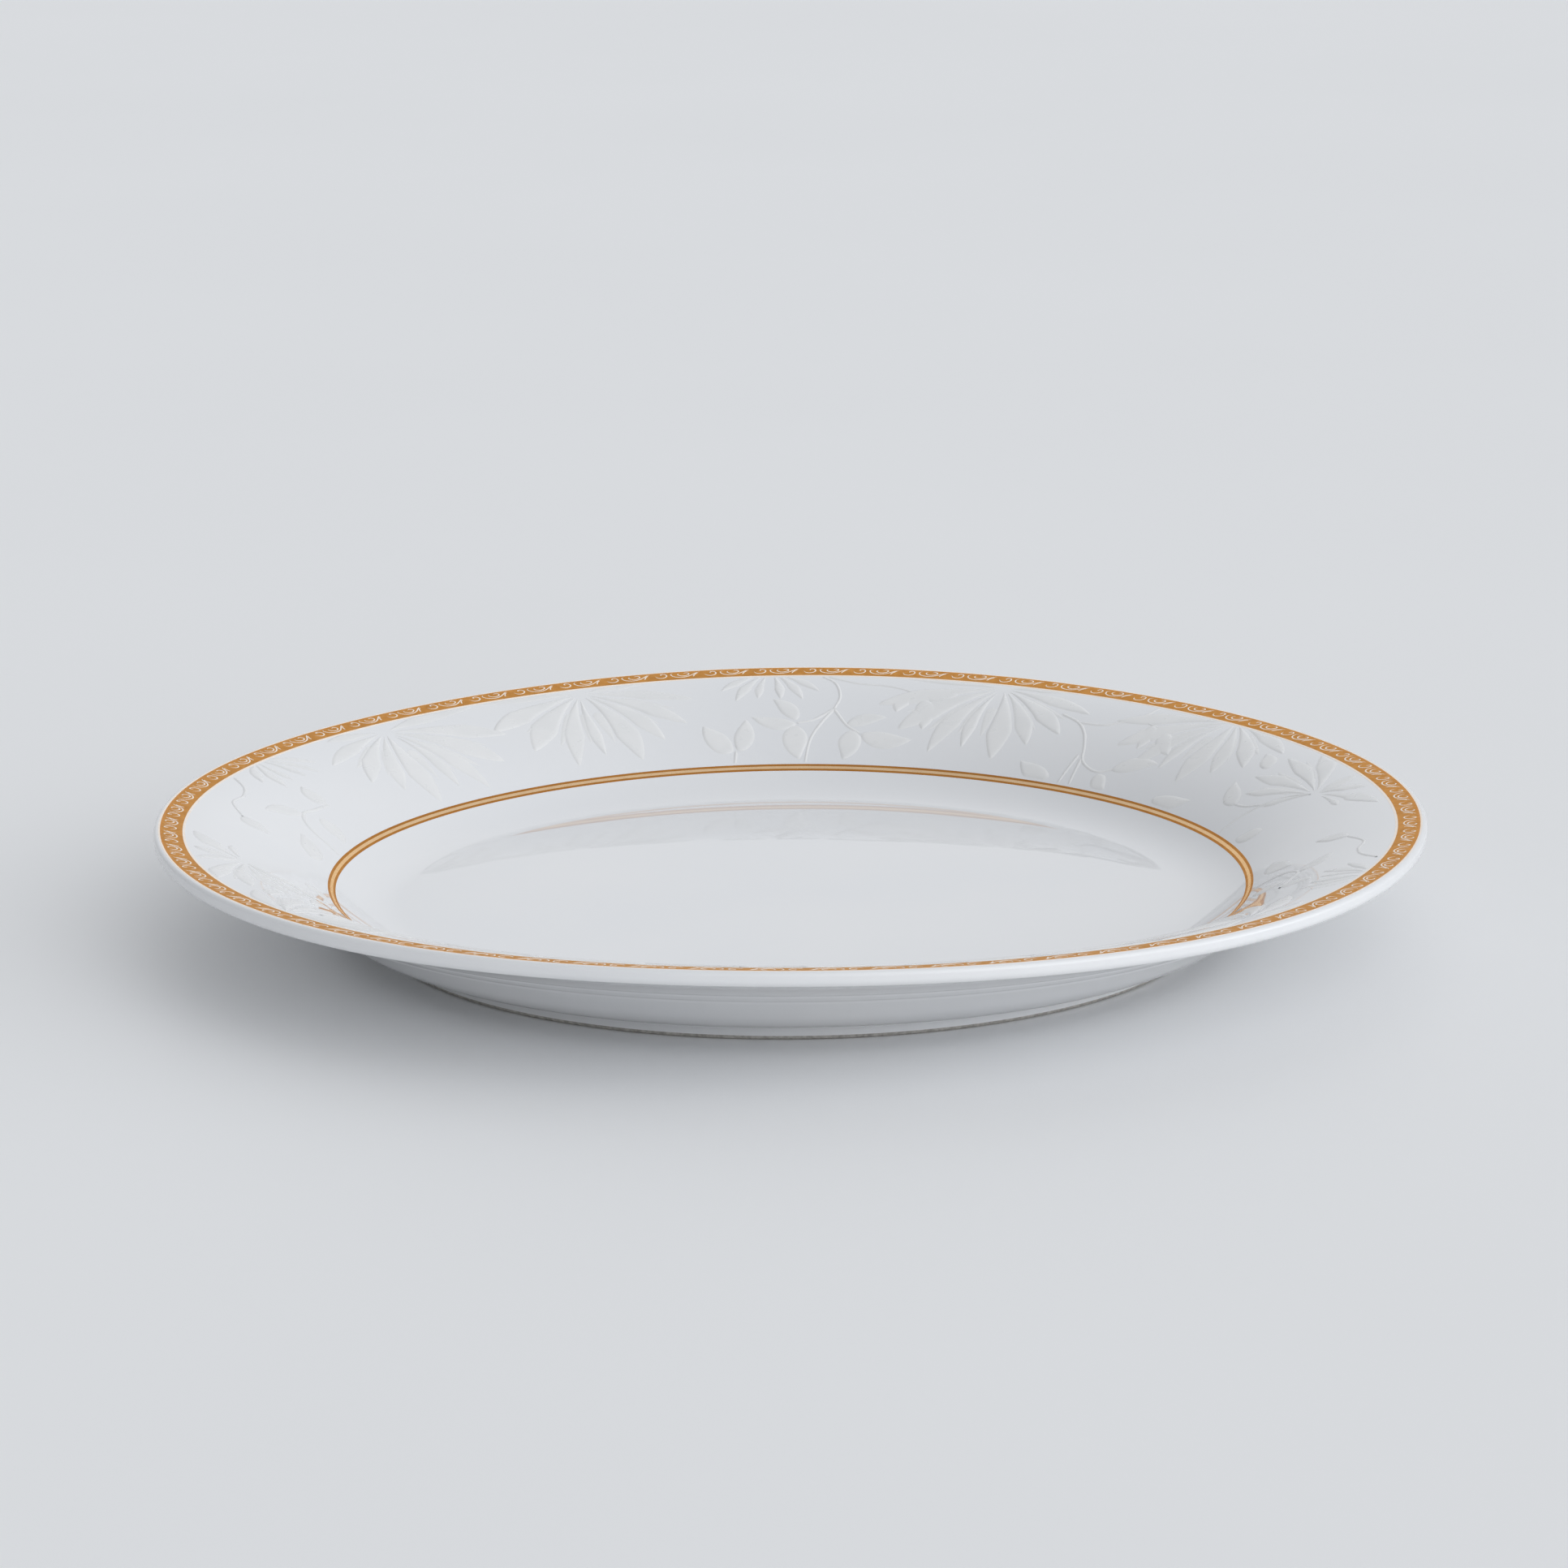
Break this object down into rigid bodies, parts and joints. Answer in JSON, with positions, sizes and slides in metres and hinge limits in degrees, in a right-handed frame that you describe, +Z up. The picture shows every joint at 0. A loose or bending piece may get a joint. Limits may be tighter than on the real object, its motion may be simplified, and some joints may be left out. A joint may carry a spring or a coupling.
{
  "type": "serving platter",
  "caption": "Round porcelain serving platter with a flat well, a wide crowned rim with white leaf relief, a gilt scroll band and a foot ring.",
  "frame": {"origin": "on the platter's axis, in the plane that the foot ring stands on", "axes": "+Z up along the axis of the round platter; X and Y lie in the table plane, the plan being round, with +Y towards the far side and +X to the right"},
  "size_m": [0.3054, 0.3054, 0.0298],
  "materials": {
    "bisque_porcelain": "bare fired porcelain, matte, seen only at the tip of the foot ring",
    "clear_glaze": "smooth glossy clear glaze over white porcelain",
    "white_enamel": "satin-gloss white relief enamel",
    "band_gold": "bright burnished gold film, warm ochre",
    "dark_gold": "bright gold line, darker",
    "pale_gold": "pale gold line",
    "cream_enamel": "fine cream tracery, gloss"
  },
  "bodies": {
    "root": {"porcelain_body": "bisque_porcelain", "glaze_coat": "clear_glaze", "foot_well_glaze": "clear_glaze", "rim_gold_band": "band_gold", "rim_edge_line": "cream_enamel", "rim_dark_line": "dark_gold", "rim_inner_line": "cream_enamel", "rim_scrolls": "cream_enamel", "verge_line_outer": "dark_gold", "verge_line_center": "pale_gold", "verge_line_inner": "dark_gold", "relief_flowers": "white_enamel", "relief_leaves": "white_enamel", "relief_stems": "white_enamel"}
  },
  "joints": []
}
